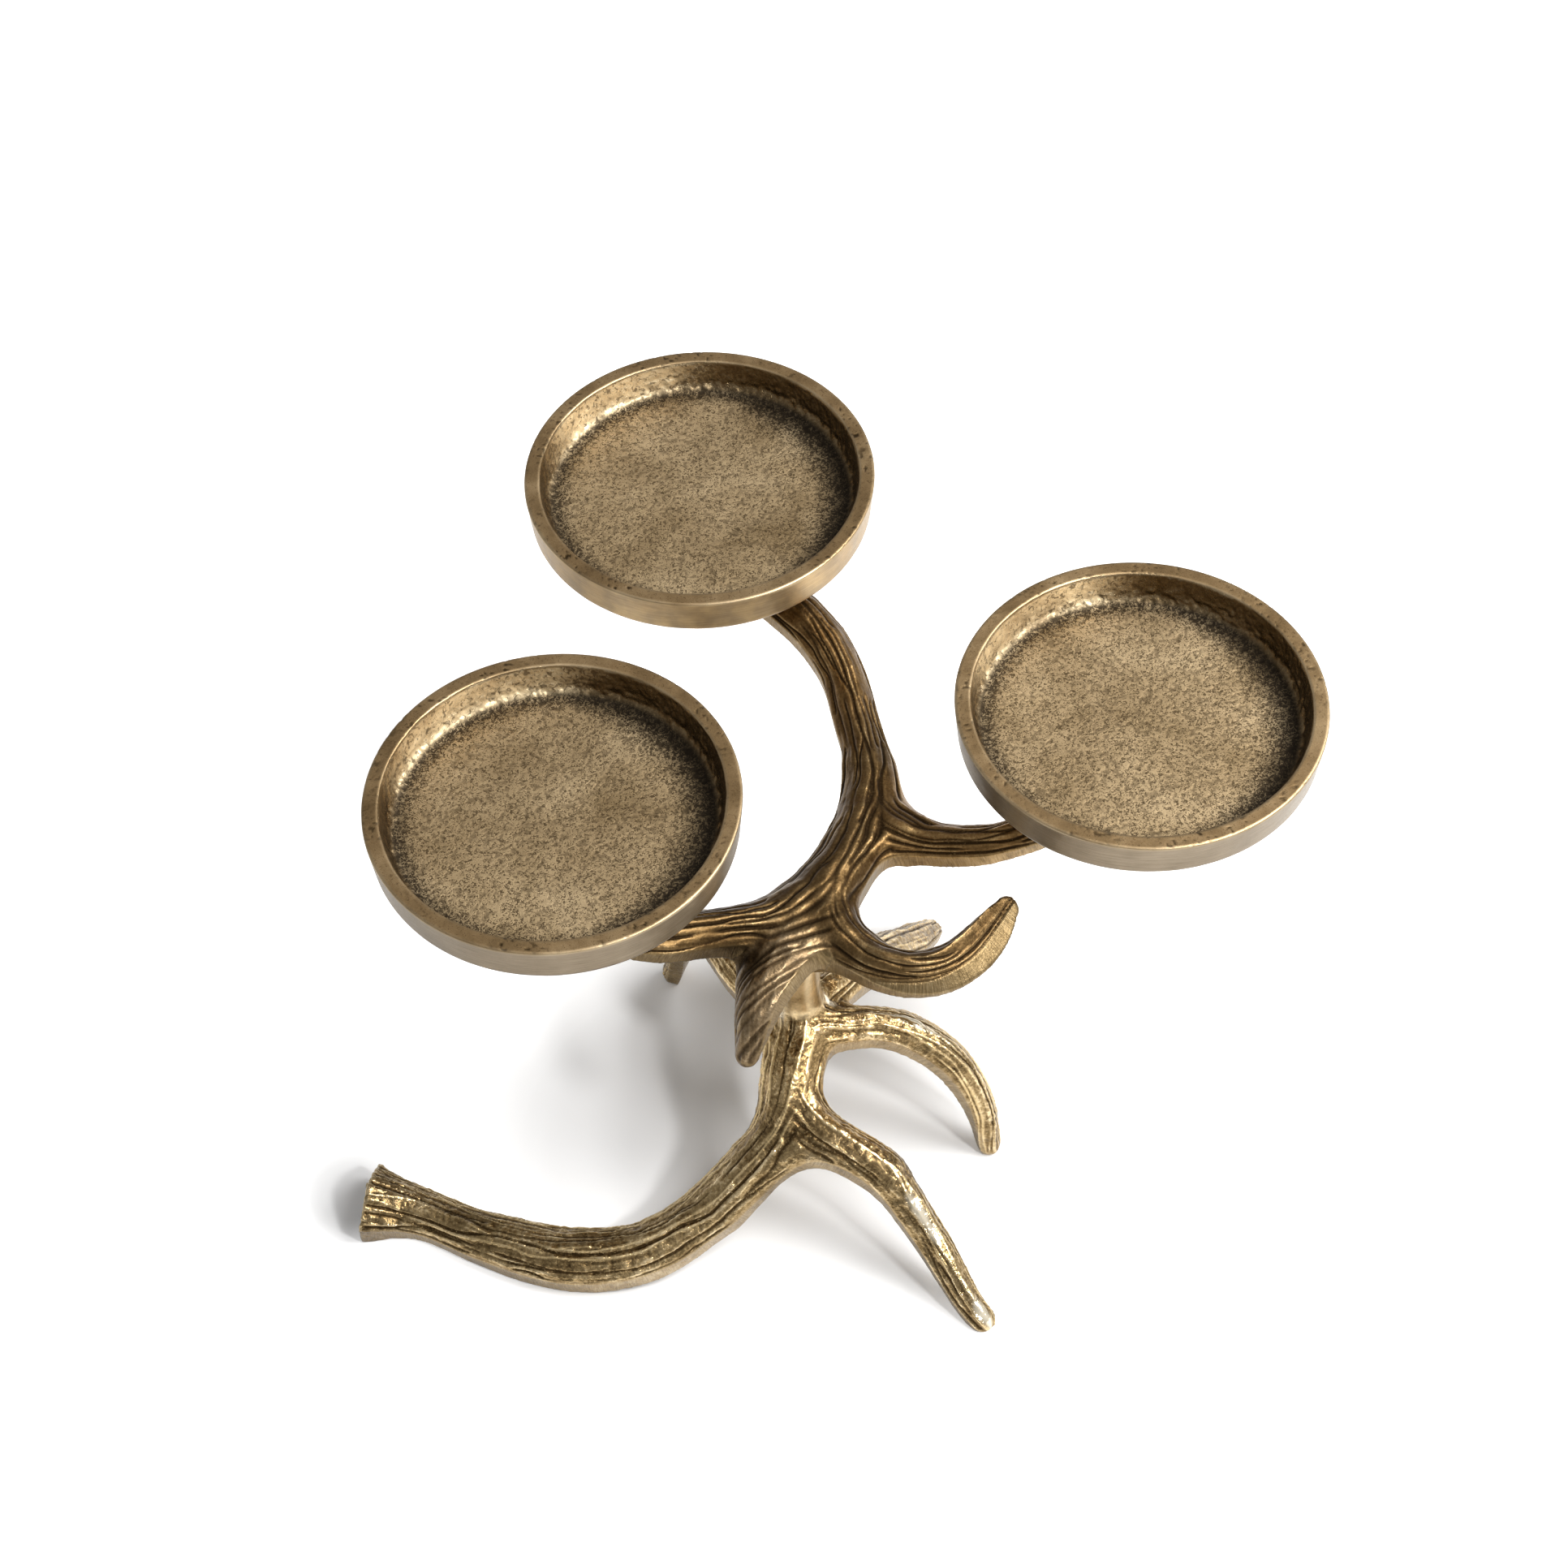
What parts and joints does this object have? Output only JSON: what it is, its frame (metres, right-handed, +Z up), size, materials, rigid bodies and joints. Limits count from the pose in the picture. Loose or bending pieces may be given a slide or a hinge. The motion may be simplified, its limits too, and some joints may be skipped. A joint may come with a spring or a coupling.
{
  "type": "candle holder",
  "caption": "Low candle holder: three round shallow pans for pillar candles on the arms of a cast antler, bolted over a second antler that stands on its beam and tines.",
  "frame": {"origin": "the middle of the whole outline, on the table", "axes": "+Z up, +X to the right in the picture, +Y away from the camera"},
  "size_m": [0.2964, 0.2866, 0.135],
  "materials": {
    "antler_brass": "antique, dark in the grooves, polished on the ridges",
    "pan_brass": "antique satin, sand-cast floor, turned rim",
    "fastener_steel": "zinc plated"
  },
  "bodies": {
    "root": {"lower_antler": "antler_brass", "upper_antler": "antler_brass", "pan_back": "pan_brass", "pan_left": "pan_brass", "pan_right": "pan_brass", "pan_screws": "fastener_steel", "pan_washers": "fastener_steel", "column_bolt": "fastener_steel", "column_washer": "fastener_steel"}
  },
  "joints": []
}
